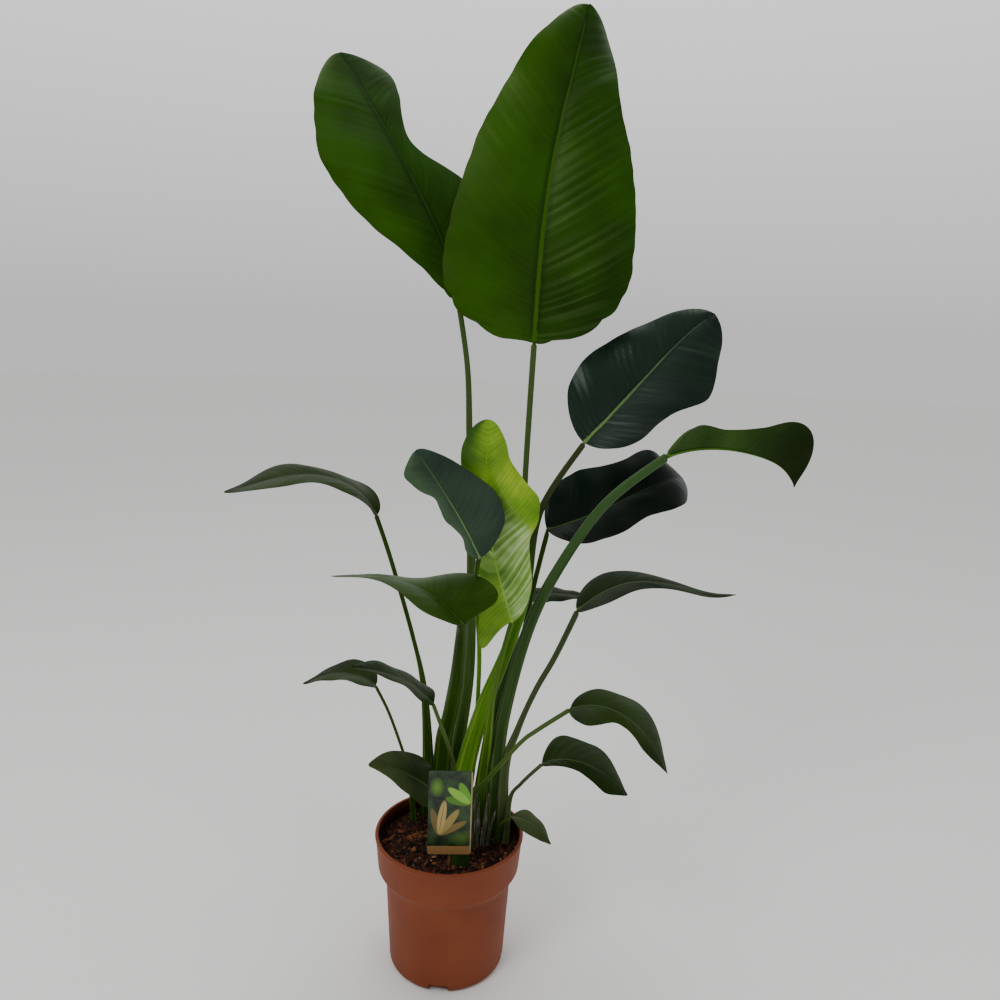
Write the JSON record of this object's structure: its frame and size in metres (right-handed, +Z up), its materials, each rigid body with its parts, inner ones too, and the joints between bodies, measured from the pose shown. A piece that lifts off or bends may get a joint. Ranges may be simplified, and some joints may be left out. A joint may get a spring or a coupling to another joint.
{
  "type": "potted bird of paradise plant",
  "caption": "Tall potted house plant with large paddle-shaped leaves on long stalks, in a filled terracotta-brown plastic nursery pot with a plain plant label.",
  "frame": {"origin": "centre of the pot's flat base", "axes": "+Z up, +X to the right as the label's face is seen, +Y away from the label's face"},
  "size_m": [0.8257, 0.4042, 1.4679],
  "materials": {
    "pot_plastic": "matt moulded terracotta-brown plastic",
    "potting_soil": "loose damp potting mix with bark chips",
    "label_print": "satin printed plastic card",
    "label_stake": "satin plastic strip",
    "leaf_mid_green": "satin waxy leaf, mid green",
    "leaf_dark": "glossy waxy leaf, dark green",
    "leaf_underside": "satin leaf underside, olive green",
    "leaf_young": "satin young leaf, yellow-green",
    "stalk_dark": "smooth waxy stalk, dark olive green",
    "stalk_light": "smooth waxy stalk, light green"
  },
  "bodies": {
    "root": {"pot": "pot_plastic", "soil": "potting_soil", "label_card": "label_print", "label_stake": "label_stake", "blade_tall_right": "leaf_mid_green", "stalk_tall_right": "stalk_dark", "blade_tall_left": "leaf_mid_green", "stalk_tall_left": "stalk_dark", "blade_upper_right": "leaf_dark", "stalk_upper_right": "stalk_light", "blade_mid_right": "leaf_dark", "stalk_mid_right": "stalk_dark", "blade_far_right": "leaf_underside", "stalk_far_right": "stalk_dark", "blade_right_arching": "leaf_dark", "stalk_right_arching": "stalk_dark", "blade_low_right": "leaf_dark", "stalk_low_right": "stalk_dark", "blade_lower_right": "leaf_dark", "stalk_lower_right": "stalk_dark", "blade_lowest_right": "leaf_dark", "stalk_lowest_right": "stalk_dark", "blade_far_left": "leaf_dark", "stalk_far_left": "stalk_dark", "blade_mid_left": "leaf_underside", "stalk_mid_left": "stalk_dark", "blade_low_left": "leaf_dark", "stalk_low_left": "stalk_dark", "blade_low_left_inner": "leaf_dark", "stalk_low_left_inner": "stalk_dark", "blade_lowest_left": "leaf_dark", "stalk_lowest_left": "stalk_dark", "blade_young": "leaf_young", "stalk_young": "stalk_light", "blade_centre": "leaf_dark", "stalk_centre": "stalk_light", "blade_back": "leaf_dark", "stalk_back": "stalk_dark"}
  },
  "joints": []
}
